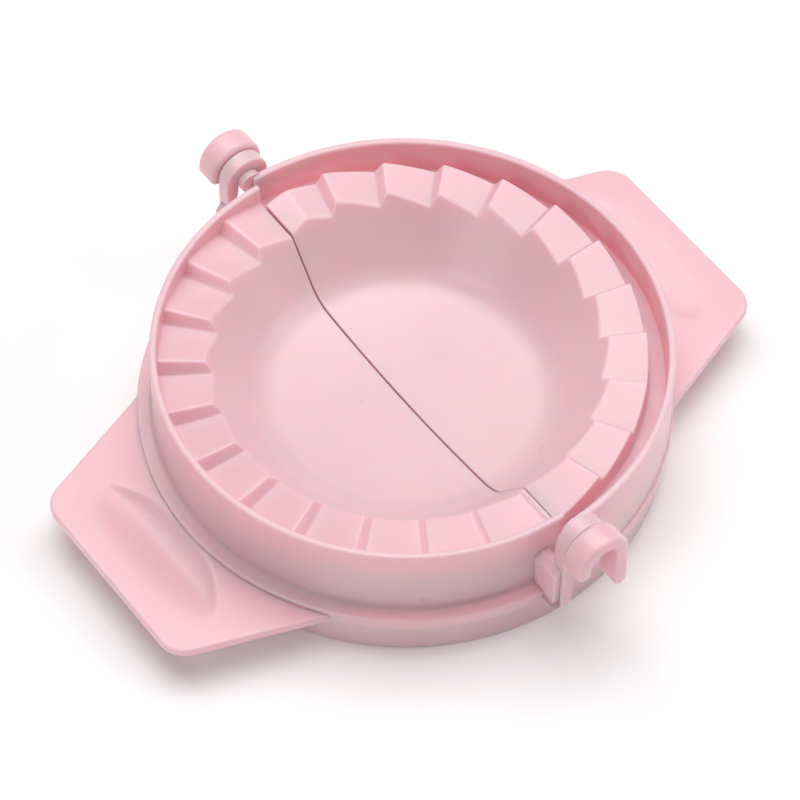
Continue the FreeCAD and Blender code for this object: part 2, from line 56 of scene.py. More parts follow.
HOLLOW_POINTS = 25  # and of the one under the head.
END_STEPS = 8  # Rows of each rounded end of a prism.
LOG = logging.getLogger("empanada_press")


class Half(Enum):
    """The two mouldings, with the CAD node that each one's ring stands for and its body."""

    BASE = ("base", "base_half_with_hinge_pins", "base_half", 1.0)
    FOLDING = ("folding", "folding_half_with_hook_ears", "folding_half", -1.0)

    def __init__(self, word: str, node: str, body: str, facing: float) -> None:
        """Keep the words and the side of a half."""
        self.word = word
        self.node = node
        self.body = body
        self.facing = facing


class End(Enum):
    """The two ends of the hinge axis, near (-Y) and far (+Y)."""

    NEAR = ("near", -1.0)
    FAR = ("far", 1.0)

    def __init__(self, word: str, side: float) -> None:
        """Keep the word and the side of an end."""
        self.word = word
        self.side = side


# ---- Outlines and skins ----


def arc(centre: tuple[float, float], radius: float, start: float, stop: float, count: int) -> np.ndarray:
    """Sample a circular arc: centre plus radius times the cosine and sine of an evenly stepped angle.

    Args:
        centre: Middle of the circle, mm.
        radius: Its radius, mm.
        start: First angle, degrees.
        stop: Last angle, degrees.
        count: Number of points.

    Returns:
        Points, count by 2.
    """
    angle = np.radians(np.linspace(start, stop, count))
    return np.stack([centre[0] + radius * np.cos(angle), centre[1] + radius * np.sin(angle)], axis=-1)


def rounded(
        corners: np.ndarray, radii: np.ndarray, closed: bool = True, steps: int = 5,
) -> tuple[np.ndarray, np.ndarray]:
    """Round the corners of an outline with true arcs.

    Each arc is the rational quadratic curve from one tangent point to the other, weighted by the sine of
    half the corner's angle, which is exactly circular. A point just before and just after each arc keeps
    the flats beside it flat when the faces are shaded smooth.

    Args:
        corners: Corner points, (..., K, 2): leading axes hold outlines that share their layout, mm.
        radii: Radius of each corner, K long, mm; zero keeps the corner as it is.
        closed: Whether the last corner joins the first.
        steps: Segments in each arc.

    Returns:
        The rounded outline, (..., M, 2), and the index of the corner that each point came from, M long.
    """
    count = corners.shape[-2]
    pieces: list[np.ndarray] = []
    owners: list[int] = []
    for index in range(count):
        corner = corners[..., index, :]
        radius = float(radii[index])
        if radius <= 0.0 or (not closed and index in (0, count - 1)):
            pieces.append(corner[..., None, :])
            owners.append(index)
            continue
        back = corners[..., index - 1, :] - corner
        ahead = corners[..., (index + 1) % count, :] - corner
        back_length = np.linalg.norm(back, axis=-1, keepdims=True)
        ahead_length = np.linalg.norm(ahead, axis=-1, keepdims=True)
        back, ahead = back / back_length, ahead / ahead_length
        cosine = np.clip(np.sum(back * ahead, axis=-1, keepdims=True), -1.0, 1.0)
        half_angle = np.arccos(cosine) / 2.0
        reach = radius / np.tan(half_angle)
        weight = np.sin(half_angle)[..., None, :]
        first = (corner + back * reach)[..., None, :]
        last = (corner + ahead * reach)[..., None, :]
        share = np.linspace(0.0, 1.0, steps + 1).reshape((1,) * (corner.ndim - 1) + (-1, 1))
        middle = corner[..., None, :]
        above = (1 - share) ** 2 * first + 2 * share * (1 - share) * weight * middle + share**2 * last
        below = (1 - share) ** 2 + 2 * share * (1 - share) * weight + share**2
        margin = min(FLAT_MARGIN, MARGIN_SHARE * radius)
        spare = [(length - reach)[..., None, :] * MARGIN_SHARE for length in (back_length, ahead_length)]
        before = first + back[..., None, :] * np.minimum(margin, spare[0])
        after = last + ahead[..., None, :] * np.minimum(margin, spare[1])
        pieces.append(np.concatenate([before, above / below, after], axis=-2))
        owners.extend([index] * (steps + 3))
    return np.concatenate(pieces, axis=-2), np.array(owners)


def inward(loop: np.ndarray) -> np.ndarray:
    """Unit normals that point into a closed outline: its tangents turned by a right angle.

    Args:
        loop: Closed outline, M by 2.

    Returns:
        Normals, M by 2.
    """
    tangent = np.roll(loop, -1, axis=0) - np.roll(loop, 1, axis=0)
    tangent /= np.maximum(np.linalg.norm(tangent, axis=1, keepdims=True), TINY)
    after = np.roll(loop, -1, axis=0)
    area = np.sum(loop[:, 0] * after[:, 1] - after[:, 0] * loop[:, 1])
    return np.sign(area) * np.stack([-tangent[:, 1], tangent[:, 0]], axis=1)


def resampled(loop: np.ndarray, spacing: float) -> np.ndarray:
    """Walk round a closed outline in equal steps.

    Args:
        loop: Closed outline, M by 2, mm.
        spacing: Step length, mm.

    Returns:
        The outline with evenly spaced points.
    """
    ring = np.vstack([loop, loop[:1]])
    travel = np.concatenate([[0.0], np.cumsum(np.linalg.norm(np.diff(ring, axis=0), axis=1))])
    places = np.linspace(0.0, travel[-1], int(travel[-1] / spacing), endpoint=False)
    return np.stack([np.interp(places, travel, ring[:, axis]) for axis in (0, 1)], axis=1)


def soft_min(first: np.ndarray, second: np.ndarray, width: float) -> np.ndarray:
    """Lower of two heights, blended: half the sum less the root of difference and width, each squared."""
    return 0.5 * (first + second - np.sqrt((first - second) ** 2 + width**2))


def soft_max(first: np.ndarray, second: np.ndarray, width: float) -> np.ndarray:
    """Higher of two heights, blended in the same way as soft_min."""
    return 0.5 * (first + second + np.sqrt((first - second) ** 2 + width**2))


@dataclass
class Skin:
    """A closed surface in the half's own frame: points in mm, faces, and flat caps."""

    points: np.ndarray
    quads: np.ndarray
    triangles: np.ndarray = field(default_factory=lambda: np.zeros((0, 3), int))
    caps: list[np.ndarray] = field(default_factory=list)

    @staticmethod
    def grid_faces(index: np.ndarray) -> tuple[np.ndarray, np.ndarray]:
        """Faces of a grid of point numbers, row by row.

        Args:
            index: Point numbers, rows by columns; a repeated number closes a pole.

        Returns:
            Quads, and triangles where two corners of a quad are the same point.
        """
        quads = np.stack([index[:-1, :-1], index[:-1, 1:], index[1:, 1:], index[1:, :-1]], axis=-1)
        quads = quads.reshape(-1, 4)
        start_pole = quads[:, 0] == quads[:, 3]
        end_pole = quads[:, 1] == quads[:, 2]
        triangles = np.vstack([quads[start_pole][:, [0, 1, 2]], quads[end_pole][:, [0, 1, 3]]])
        return quads[~(start_pole | end_pole)], triangles

    def volume(self) -> float:
        """Signed volume: a sixth of the triple product of each triangle's corners, added up."""
        fans = [self.triangles, self.quads[:, [0, 1, 2]], self.quads[:, [0, 2, 3]]]
        for cap in self.caps:
            fans.append(np.stack([np.full(len(cap) - 2, cap[0]), cap[1:-1], cap[2:]], axis=1))
        corners = self.points[np.vstack(fans)]
        crossed = np.cross(corners[:, 1], corners[:, 2])
        return float(np.einsum("ij,ij->i", corners[:, 0], crossed).sum() / 6.0)

    def outward(self) -> "Skin":
        """Return the skin with all its faces turned to look outwards."""
        if self.volume() >= 0.0:
            return self
        caps = [cap[::-1] for cap in self.caps]
        return Skin(self.points, self.quads[:, ::-1], self.triangles[:, ::-1], caps)

    @staticmethod
    def swept(loops: np.ndarray) -> "Skin":
        """Skin closed outlines that follow each other, with a flat cap on the first and the last.

        Args:
            loops: Points, rows by M by 3.

        Returns:
            The closed skin.
        """
        rows, count = loops.shape[:2]
        index = np.arange(rows * count).reshape(rows, count)
        quads, triangles = Skin.grid_faces(np.hstack([index, index[:, :1]]))
        caps = [index[0][::-1], index[-1]]
        return Skin(loops.reshape(-1, 3), quads, triangles, caps).outward()

    @staticmethod
    def turned(rings: np.ndarray, first_pole: np.ndarray, last_pole: np.ndarray) -> "Skin":
        """Skin closed rings that widen from one pole and narrow to another.

        Args:
            rings: Points, M round by rows by 3.
            first_pole: Point that the first ring closes to.
            last_pole: Point that the last ring closes to.

        Returns:
            The closed skin.
        """
        count, rows = rings.shape[:2]
        index = np.arange(count * rows).reshape(count, rows)
        start = np.full((count, 1), count * rows)
        index = np.hstack([start, index, start + 1])
        index = np.vstack([index, index[:1]])
        quads, triangles = Skin.grid_faces(index)
        points = np.vstack([rings.reshape(-1, 3), first_pole, last_pole])
        return Skin(points, quads, triangles).outward()


def make_piece(name: str, skin: Skin, half: Half, material: bpy.types.Material) -> bpy.types.Object:
    """Put a skin into a mesh in metres and let it ride on its half's body.

    Args:
        name: Name of the piece.
        skin: Its closed surface, in mm, in the half's own frame.
        half: The moulding that it is part of.
        material: Its finish.

    Returns:
        The piece's object, at the origin.
    """
    points = skin.points * MM * np.array([half.facing, half.facing, 1.0])
    faces = [skin.triangles, skin.quads]
    counts = [np.full(len(block), block.shape[1]) for block in faces]
    sizes = np.concatenate(counts + [[len(cap)] for cap in skin.caps])
    starts = np.concatenate([[0], np.cumsum(sizes)[:-1]])
    corners = np.concatenate([block.ravel() for block in faces] + list(skin.caps))
    mesh = bpy.data.meshes.new(name)
    mesh.vertices.add(len(points))
    mesh.vertices.foreach_set("co", points.astype(np.float32).ravel())
    mesh.loops.add(len(corners))
    mesh.loops.foreach_set("vertex_index", corners.astype(np.int32))
    mesh.polygons.add(len(sizes))
    mesh.polygons.foreach_set("loop_start", starts.astype(np.int32))
    smooth = np.ones(len(sizes), bool)
    smooth[len(sizes) - len(skin.caps):] = False
    mesh.polygons.foreach_set("use_smooth", smooth)
    mesh.update(calc_edges=True)
    mesh.validate()
    mesh.materials.append(material)
    piece = bpy.data.objects.new(name, mesh)
    bpy.context.scene.collection.objects.link(piece)
    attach(piece, half.body)
    LOG.info("%s: %d faces on %s", name, len(sizes), half.body)
    return piece


# ---- Finishes ----


def linear(code: str) -> tuple[float, float, float, float]:
    """Turn an sRGB hex colour into the linear colour that a shader takes.

    Args:
        code: Six hex digits, with or without a hash.

    Returns:
        Red, green, blue and an alpha of one.
    """
    digits = code.lstrip("#")
    shares = [int(digits[start:start + 2], 16) / 255.0 for start in (0, 2, 4)]
    red, green, blue = [s / 12.92 if s <= 0.04045 else ((s + 0.055) / 1.055) ** 2.4 for s in shares]
    return red, green, blue, 1.0


def add_node(tree: bpy.types.NodeTree, kind: str, settings: dict, links: dict) -> bpy.types.Node:
    """Add a shader node with its settings and links.

    Args:
        tree: Node tree of the material.
        kind: Node type.
        settings: Values by name: the name of an input as Blender shows it, or else of an attribute.
        links: Output sockets by the name of the input that they feed.

    Returns:
        The node.
    """
    node = tree.nodes.new(kind)
    for name, value in settings.items():
        if name in node.inputs:
            node.inputs[name].default_value = value
        else:
            setattr(node, name, value)
    for name, socket in links.items():
        tree.links.new(socket, node.inputs[name])
    return node


def new_material(name: str) -> tuple[bpy.types.Material, bpy.types.NodeTree, bpy.types.NodeSocket]:
    """Make a material with an empty node tree.

    Args:
        name: Name of the finish.

    Returns:
        The material, its tree, and the Object coordinates in it.
    """
    material = bpy.data.materials.new(name)
    material.use_nodes = True
    tree = material.node_tree
    tree.nodes.clear()
    return material, tree, add_node(tree, "ShaderNodeTexCoord", {}, {}).outputs["Object"]


@dataclass(frozen=True)
class MouldedPolypropylene:
    """Pale pink polypropylene, injection moulded in a polished tool.

    It gives the eye an even, slightly milky pink: light goes a few millimetres in, so thin rims glow and
    shaded corners turn a warmer pink. The skin is satin-gloss, with the faint long waves of a moulded
    surface, so that highlights have soft, not quite straight edges.
    """

    name: str = "moulded_pink_polypropylene"
    body: str = "FCCAD1"
    deeper: str = "F1C5CE"
    roughness: float = 0.30
    roughness_swing: float = 0.05
    ior: float = 1.49
    milkiness: float = 0.7
    glow_mm: tuple[float, float, float] = (5.0, 1.8, 1.5)
    flow_mm: float = 38.0
    flow_low: float = 0.35
    flow_high: float = 0.65
    wave_mm: float = 9.0
    wave_height_mm: float = 0.05
    wave_strength: float = 0.25
    skin_mm: float = 0.9
    skin_height_mm: float = 0.006
    skin_strength: float = 0.10

    def material(self) -> bpy.types.Material:
        """Build the finish's material.

        Returns:
            The material, on Object coordinates.
        """
        material, tree, place = new_material(self.name)
        flow, wave, skin = (
            add_node(tree, "ShaderNodeTexNoise", {"Scale": 1.0 / (size * MM), "Detail": detail},
                     {"Vector": place}).outputs["Fac"]
            for size, detail in ((self.flow_mm, 2.0), (self.wave_mm, 1.0), (self.skin_mm, 3.0)))
        tint = add_node(tree, "ShaderNodeValToRGB", {}, {"Fac": flow})
        stops = ((self.flow_low, self.deeper), (self.flow_high, self.body))
        for element, (position, code) in zip(tint.color_ramp.elements, stops):
            element.position = position
            element.color = linear(code)
        least, most = self.roughness - self.roughness_swing, self.roughness + self.roughness_swing
        gloss = add_node(tree, "ShaderNodeMapRange", {"To Min": least, "To Max": most}, {"Value": wave})
        waves = add_node(
            tree, "ShaderNodeBump", {"Strength": self.wave_strength, "Distance": self.wave_height_mm * MM},
            {"Height": wave})
        bump = add_node(
            tree, "ShaderNodeBump", {"Strength": self.skin_strength, "Distance": self.skin_height_mm * MM},
            {"Height": skin, "Normal": waves.outputs["Normal"]})
        shader = add_node(
            tree, "ShaderNodeBsdfPrincipled",
            {"IOR": self.ior, "Subsurface Weight": self.milkiness, "Subsurface Scale": MM,
             "Subsurface Radius": self.glow_mm},
            {"Base Color": tint.outputs["Color"], "Roughness": gloss.outputs["Result"],
             "Normal": bump.outputs["Normal"]})
        add_node(tree, "ShaderNodeOutputMaterial", {}, {"Surface": shader.outputs["BSDF"]})
        return material


@dataclass(frozen=True)
class StudioPaper:
    """White paper sweep: matt and even, so that only the softest contact shade shows on it.

    Its optical brightener gives back a little light of its own, which keeps that shade pale.
    """

    name: str = "white_studio_paper"
    body: str = "FBFBFB"
    roughness: float = 0.9
    specular: float = 0.1
    brightener: float = 0.05
    brightener_colour: str = "FFFFFF"
    tooth_mm: float = 2.0
    tooth_height_mm: float = 0.02
    tooth_strength: float = 0.05

    def material(self) -> bpy.types.Material:
        """Build the paper's material.

        Returns:
            The material, on Object coordinates.
        """
        material, tree, place = new_material(self.name)
        tooth = add_node(tree, "ShaderNodeTexNoise", {"Scale": 1.0 / (self.tooth_mm * MM)}, {"Vector": place})
        bump = add_node(
            tree, "ShaderNodeBump", {"Strength": self.tooth_strength, "Distance": self.tooth_height_mm * MM},
            {"Height": tooth.outputs["Fac"]})
        shader = add_node(
            tree, "ShaderNodeBsdfPrincipled",
            {"Base Color": linear(self.body), "Roughness": self.roughness,
             "Specular IOR Level": self.specular, "Emission Color": linear(self.brightener_colour),
             "Emission Strength": self.brightener},
            {"Normal": bump.outputs["Normal"]})
        add_node(tree, "ShaderNodeOutputMaterial", {}, {"Surface": shader.outputs["BSDF"]})
        return material


# ---- The rings ----


@dataclass(frozen=True)
class RingSizes:
    """Sizes that both rings share, in mm and degrees, the same as the solid's."""

    wall: float = 1.8
    seam_gap: float = 0.2
    seam_round: float = 0.18
    bowl_floor: float = 9.2
    bowl_foot_radius: float = 29.1
    bowl_corner_radius: float = 8.0
    dish_angle: float = 7.9
    bowl_wall_angle: float = 54.0
    tooth_outer_radius: float = 47.352
    plain_rim_inner: float = 48.652
    plain_rim_outer: float = 50.072
    groove_outer: float = 51.042
    grooved_rim_outer: float = 52.602
    groove_floor: float = 20.0
    rim_height: float = 28.0
    flange_radius: float = 53.102
    flange_top: float = 10.9
    flange_bottom: float = 8.5
    foot_radius: float = 52.0
    foot_inner: float = 50.2

    @property
    def bowl_foot_height(self) -> float:
        """Height where the dish meets the bowl wall."""
        return self.bowl_floor + self.bowl_foot_radius * math.tan(math.radians(self.dish_angle / 2))

    def wall_radius(self, height: np.ndarray | float) -> np.ndarray | float:
        """Radius of the bowl wall at a height."""
        steepness = math.tan(math.radians(self.bowl_wall_angle))
        return self.bowl_foot_radius + (height - self.bowl_foot_height) / steepness

    def dish(self, radii: np.ndarray, drop: float) -> np.ndarray:
        """Section of the dish: a shallow circular arc about a point far above the bowl.

        Args:
            radii: Distances from the middle, mm.
            drop: Distance below the bowl's own surface, mm.

        Returns:
            Radius and height pairs.
        """
        sphere = self.bowl_foot_radius / math.sin(math.radians(self.dish_angle))
        centre = self.bowl_floor + sphere
        return np.stack([radii, centre - np.sqrt((sphere + drop) ** 2 - radii**2)], axis=-1)


@dataclass(frozen=True)
class Crimp:
    """The sawtooth facets of one ring, in mm and degrees, with the grid lines that each step gets."""

    crest: float
    first_step: float
    bevelled_seam: bool
    rise: float = 2.8
    pitch: float = 15.0
    step_angle: float = 2.0
    fall: float = 2.5
    bevel_angle: float = 6.0
    bevel_share: float = 0.6
    edge_round: float = 0.4
    reference: float = 47.352
    beside_step: tuple[float, ...] = (0.0, 0.4, 0.7, 0.9, 1.1, 1.3, 1.6, 2.0, 2.6)
    on_facet: tuple[float, ...] = (3.6, 4.8, 6.2, 7.6, 9.0, 10.2, 11.4)
    beside_bevel: tuple[float, ...] = (0.0, 0.25, 0.6)
    last_line: float = 89.6

    def height(self, angle: np.ndarray, radius: np.ndarray) -> np.ndarray:
        """Height of the crimping surface.

        Each facet is a plane that rises along the ring through a pitch and falls a little towards the
        bowl. Between two facets a steep plane steps down. The surface is the higher of the next facet
        and the lower of the facet before and the step, with blended edges. At the bevelled seam it is
        also below a plane that runs down to the seam.

        Args:
            angle: Angle round the ring, radians.
            radius: Distance from the middle, mm.

        Returns:
            Heights, mm.
        """
        pitch = math.radians(self.pitch)
        half_step = math.radians(self.step_angle / 2)
        tilt = math.tan(math.radians(self.fall))
        middle = self.crest - self.rise / 2
        offset = angle - math.radians(self.first_step)
        turn = offset - pitch * np.round(offset / pitch)
        slope = self.rise / (2 * self.reference * math.tan(pitch / 2 - half_step))
        steep = self.rise / (2 * self.reference * math.tan(half_step))

        def plane(around: np.ndarray, rate: float) -> np.ndarray:
            """Plane through the middle height with a rate along the ring and the fall inwards."""
            inwards = (radius * np.cos(around) - self.reference) * tilt
            return middle + inwards + rate * radius * np.sin(around)

        before = plane(turn + pitch / 2, slope)
        after = plane(turn - pitch / 2, slope)
        step = plane(turn, -steep)
        surface = soft_max(soft_min(before, step, self.edge_round), after, self.edge_round)
        if self.bevelled_seam:
            around = angle - math.pi / 2
            ahead = radius * np.cos(around)
            low = self.crest - self.rise * (1 + ahead / self.reference) / 2 + (ahead - self.reference) * tilt
            rate = self.bevel_share * self.rise / (self.reference * math.tan(math.radians(self.bevel_angle)))
            surface = soft_min(surface, low - rate * radius * np.sin(around), self.edge_round)
        return surface

    def angles(self) -> np.ndarray:
        """Angles of the grid lines round the ring: close together at each step, wider on the facets.

        Returns:
            Angles from -90 to 90 degrees, in radians.
        """
        near = np.array(self.beside_step)
        steps = self.first_step + self.pitch * np.arange(-1, round(180.0 / self.pitch) + 2)
        lines = (steps[:, None] + np.concatenate([-near, near, self.on_facet])[None, :]).ravel()
        lines = lines[np.abs(lines) < self.last_line]
        if self.bevelled_seam:
            edge = np.array(self.beside_bevel)
            lines = np.concatenate([lines, 90.0 - self.bevel_angle + np.concatenate([-edge, edge])])
        lines = np.unique(np.round(np.concatenate([[-90.0], lines, [90.0]]), 3))
        return np.radians(lines)


@dataclass(frozen=True)
class HalfRing:
    """One ring: bowl, crimping teeth, rim, flange and foot, cut flat and softened at the seam."""

    half: Half
    crimp: Crimp
    sizes: RingSizes = RingSizes()
    probe_radius: float = 38.0
    squeeze_radius: float = 43.0
    dish_lines: tuple[float, ...] = (1.2, 3.0, 5.75, 8.5, 11.25, 14.0, 16.75, 19.5, 22.25, 25.0)
    lip_round: float = 1.1

    def outside(self) -> np.ndarray:
        """Corners of the section from the teeth outwards and down to the flange.

        Returns:
            Rows of radius, height and rounding.
        """
        s = self.sizes
        if self.half is Half.BASE:
            return np.array([
                (s.tooth_outer_radius, s.groove_floor, 0.5), (s.groove_outer, s.groove_floor, 0.5),
                (s.groove_outer, s.rim_height, 0.5), (s.grooved_rim_outer, s.rim_height, 0.6),
                (s.grooved_rim_outer, s.flange_top, 0.12), (s.flange_radius, s.flange_top, 0.25),
                (s.flange_radius, s.flange_bottom, 0.3), (s.foot_radius, s.flange_bottom, 0.3)])
        return np.array([
            (s.plain_rim_inner, s.rim_height, 0.5), (s.plain_rim_outer, s.rim_height, 0.55),
            (s.plain_rim_outer, s.flange_top, 0.9), (s.flange_radius, s.flange_top, 0.4),
            (s.flange_radius, s.flange_bottom, 0.3), (s.foot_radius, s.flange_bottom, 0.3)])

    def underside(self) -> np.ndarray:
        """Corners of the hollow below, from the foot to the bowl.

        Returns:
            Rows of radius, height and rounding.
        """
        s = self.sizes
        ceiling = self.crimp.crest - self.crimp.rise - s.wall
        if self.half is Half.BASE:
            ledge, inner = s.groove_floor - s.wall, s.tooth_outer_radius - s.wall
        else:
            ledge, inner = s.flange_top - s.wall, s.plain_rim_outer - s.wall
        reach = s.wall / math.cos(math.radians((s.bowl_wall_angle - s.dish_angle) / 2))
        lean = math.radians((s.bowl_wall_angle + s.dish_angle) / 2)
        under_wall = s.wall_radius(ceiling) + s.wall / math.sin(math.radians(s.bowl_wall_angle))
        return np.array([
            (s.foot_radius, 0.0, 0.4), (s.foot_inner, 0.0, 0.4), (s.foot_inner, ledge, 0.4),
            (inner, ledge, 0.4), (inner, ceiling, 0.4), (under_wall, ceiling, 0.5),
            (s.bowl_foot_radius + reach * math.sin(lean), s.bowl_foot_height - reach * math.cos(lean),
             s.bowl_corner_radius + s.wall)])

    def section(self, angle: np.ndarray) -> np.ndarray:
        """Section of the ring at each angle: the corner list with the tooth's own heights, rounded.

        Args:
            angle: Angles round the ring, radians.

        Returns:
            Radius and height pairs, angles by M by 2.
        """
        s = self.sizes
        is_base = self.half is Half.BASE
        outer, crest_round = (s.tooth_outer_radius, 0.35) if is_base else (s.plain_rim_inner, 0.4)
        low, high = (self.crimp.height(angle, np.full_like(angle, r)) for r in (self.probe_radius, outer))
        rate = (high - low) / (outer - self.probe_radius)
        steepness = math.tan(math.radians(s.bowl_wall_angle))
        foot = s.bowl_foot_height - s.bowl_foot_radius * steepness
        edge = (low - rate * self.probe_radius - foot) / (steepness - rate)
        edge_height = low + rate * (edge - self.probe_radius)
        dish_radii = np.array([s.seam_gap + s.seam_round, *self.dish_lines])
        dish, below = s.dish(dish_radii, 0.0), s.dish(dish_radii[::-1], s.wall)
        outside, underside = self.outside(), self.underside()
        tooth = np.stack([
            np.stack([edge, edge_height], axis=-1),
            np.stack([np.full_like(angle, outer), high], axis=-1)], axis=1)
        fixed = [dish, np.array([[s.bowl_foot_radius, s.bowl_foot_height]]), None,
                 outside[:, :2], underside[:, :2], below]
        blocks = [tooth if block is None else np.repeat(block[None], len(angle), axis=0) for block in fixed]
        radii = np.concatenate([
            np.zeros(len(dish)), [s.bowl_corner_radius, self.lip_round, crest_round],
            outside[:, 2], underside[:, 2], np.zeros(len(below))])
        outline, _ = rounded(np.concatenate(blocks, axis=1), radii, closed=False)
        return outline

    def skin(self) -> Skin:
        """Surface of the ring.

        The section is carried round the ring. The angle is squeezed a little near the middle, so that
        every section line ends on the same flat seam plane. From there the seam's edge is rounded: the
        outline on the plane shrinks by one less the cosine, and the plane moves out by the sine, of an
        angle that runs through a right angle. A flat face closes it.

        Returns:
            The closed skin.
        """
        s = self.sizes
        seam = s.seam_gap + s.seam_round
        angles = self.crimp.angles()
        squeeze = np.arccos(seam / self.squeeze_radius) / (math.pi / 2)
        section = self.section(angles * squeeze)
        radius, height = section[..., 0], section[..., 1]
        around = angles[:, None] * np.arccos(np.clip(seam / radius, -1.0, 1.0)) / (math.pi / 2)
        grid = np.stack([radius * np.cos(around), radius * np.sin(around), height], axis=-1)
        rows, columns = grid.shape[:2]
        index = np.arange(rows * columns).reshape(rows, columns)
        index[:, 0] = index[0, 0]
        index[:, -1] = index[0, -1]
        quads, triangles = Skin.grid_faces(index)
        loop = np.concatenate([index[-1], index[0, -2:0:-1]])
        points = grid.reshape(-1, 3)
        flat = points[loop][:, 1:]
        into = inward(flat)
        numbers = [loop]
        shells = [points]
        total = len(points)
        for angle in np.radians([22.5, 45.0, 67.5, 90.0]):
            shrunk = flat + into * s.seam_round * (1 - math.cos(angle))
            plane = s.seam_gap + s.seam_round * (1 - math.sin(angle))
            shells.append(np.column_stack([np.full(len(loop), plane), shrunk]))
            numbers.append(np.arange(total, total + len(loop)))
            total += len(loop)
        strip = np.array(numbers)
        edge_quads, edge_triangles = Skin.grid_faces(np.hstack([strip, strip[:, :1]]))
        return Skin(
            np.vstack(shells), np.vstack([quads, edge_quads]), np.vstack([triangles, edge_triangles]),
            [numbers[-1]]).outward()

    def build(self, material: bpy.types.Material) -> None:
        """Make the ring, which stands for the half's whole CAD node."""
        piece = make_piece(self.half.word + "_ring", self.skin(), self.half, material)
        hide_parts(self.half.node)


# ---- The wings ----


@dataclass(frozen=True)
class Wing:
    """A flat wing with a pressed thumb scoop, in mm and degrees."""

    half: Half
    root_radius: float = 51.1
    reach: float = 71.5
    half_end: float = 22.0
    taper: float = 19.6
    corner_radius: float = 6.0
    top: float = 9.9
    thickness: float = 2.0
    edge_round: float = 0.7
    root_blend: float = 3.0
    scoop_depth: float = 3.1
    mouth_root: tuple[float, float] = (52.0, 8.5)
    mouth_bend: tuple[float, float] = (59.0, 20.7)
    mouth_corner: tuple[float, float] = (65.4, 18.6)
    mouth_end: tuple[float, float] = (67.5, 14.0)
    floor_start: float = 57.2
    floor_stop: float = 59.2
    root_fall: float = 2.6
    side_fall: float = 6.2
    corner_fall: float = 7.5
    scoop_blend: float = 1.6
    lip_blend: float = 0.35
    middle: tuple[float, float] = (60.0, 0.0)
    spacing: float = 0.5
    root_points: int = 40
    corner_steps: int = 16
    edge_steps: int = 6
    rows: int = 72
    first_share: float = 0.06
    least_softness: float = 0.02

    def plan(self) -> np.ndarray:
        """Plan of the wing: straight tapering sides, round corners, and an arc inside the ring's wall.

        Returns:
            Closed outline, evenly spaced.
        """
        slope = math.tan(math.radians(self.taper))
        width = self.half_end + self.reach * slope
        stretch = slope**2 + 1
        root = (slope * width + math.sqrt(self.root_radius**2 * stretch - width**2)) / stretch
        half_root = width - root * slope
        turn = math.degrees(math.atan2(half_root, root))
        inner = arc((0.0, 0.0), self.root_radius, turn, -turn, self.root_points)
        corners = np.vstack([[[self.reach, -self.half_end], [self.reach, self.half_end]], inner])
        radii = np.concatenate([[self.corner_radius] * 2, np.zeros(len(inner))])
        outline, _ = rounded(corners, radii, steps=self.corner_steps)
        return resampled(outline, self.spacing)

    def relief(self, x: np.ndarray, y: np.ndarray) -> np.ndarray:
        """Depth of the scoop at a place: zero on the flat, negative in the scoop.

        Planes run down from the sides of the mouth: a steep one beside the ring, a long gentle one from
        the outer end, and at each side three that follow the mouth's corners. The scoop is the highest
        of these and of its floor, blended, and the flat wing cuts it off.

        Args:
            x: Distances from the hinge plane, mm.
            y: Distances along the hinge, mm.

        Returns:
            Heights against the wing's top, mm.
        """
        across = np.abs(y)
        inner = (x - self.mouth_root[0]) / (self.floor_start - self.mouth_root[0])
        ramp = (self.mouth_end[0] - x) / (self.mouth_end[0] - self.floor_stop)
        shares = [inner, ramp]
        sides = ((self.mouth_root, self.mouth_bend, self.root_fall),
                 (self.mouth_bend, self.mouth_corner, self.side_fall),
                 (self.mouth_corner, self.mouth_end, self.corner_fall))
        for start, stop, fall in sides:
            along = np.array(stop) - np.array(start)
            along /= np.linalg.norm(along)
            shares.append(((x - start[0]) * along[1] - (across - start[1]) * along[0]) / fall)
        scoop = np.full_like(x, -self.scoop_depth)
        for share in shares:
            scoop = soft_max(scoop, -self.scoop_depth * share, self.scoop_blend)
        return soft_min(scoop, np.zeros_like(x), self.lip_blend)

    def skin(self) -> Skin:
        """Surface of the wing: its outline carried in towards the middle above and below, and rounded.

        On the way in, the distance along the hinge shrinks with the share that is left, and the distance
        from the middle across it with the square of that share, so that no line leaves the plan at the
        hollow root. The edge's rounding fades out at the sharp corners inside the ring's wall.

        Returns:
            The closed skin.
        """
        outline = self.plan()
        into = inward(outline)
        beyond = np.linalg.norm(outline, axis=1) - self.root_radius
        soft = self.edge_round * np.clip(beyond / self.root_blend, self.least_softness, 1.0)[:, None]
        inset = outline + into * soft
        middle = np.array(self.middle)
        shares = np.linspace(self.first_share, 1.0, self.rows)
        shrinks = np.stack([shares**2, shares], axis=-1)
        spread = middle + (inset - middle)[:, None, :] * shrinks[None]
        relief = self.relief(spread[..., 0], spread[..., 1])
        top = np.concatenate([spread, (self.top + relief)[..., None]], axis=-1)
        turn = np.radians(np.linspace(0.0, 90.0, self.edge_steps + 1))[1:]
        outwards = inset[:, None, :] - into[:, None, :] * (soft * np.sin(turn))[..., None]
        drop = soft * (1 - np.cos(turn))
        rim_top = top[:, -1, 2][:, None] - drop
        upper = np.concatenate([outwards, rim_top[..., None]], axis=-1)
        lower = upper[:, ::-1].copy()
        lower[..., 2] = (top[:, -1, 2] - self.thickness)[:, None] + drop[:, ::-1]
        bottom = top[:, ::-1].copy()
        bottom[..., 2] -= self.thickness
        rings = np.concatenate([top, upper, lower, bottom], axis=1)
        height = float(self.relief(np.array([middle[0]]), np.array([middle[1]]))[0]) + self.top
        first = np.array([middle[0], middle[1], height])
        return Skin.turned(rings, first, first - np.array([0.0, 0.0, self.thickness]))

    def build(self, material: bpy.types.Material) -> None:
        """Make the wing."""
        make_piece(self.half.word + "_wing", self.skin(), self.half, material)


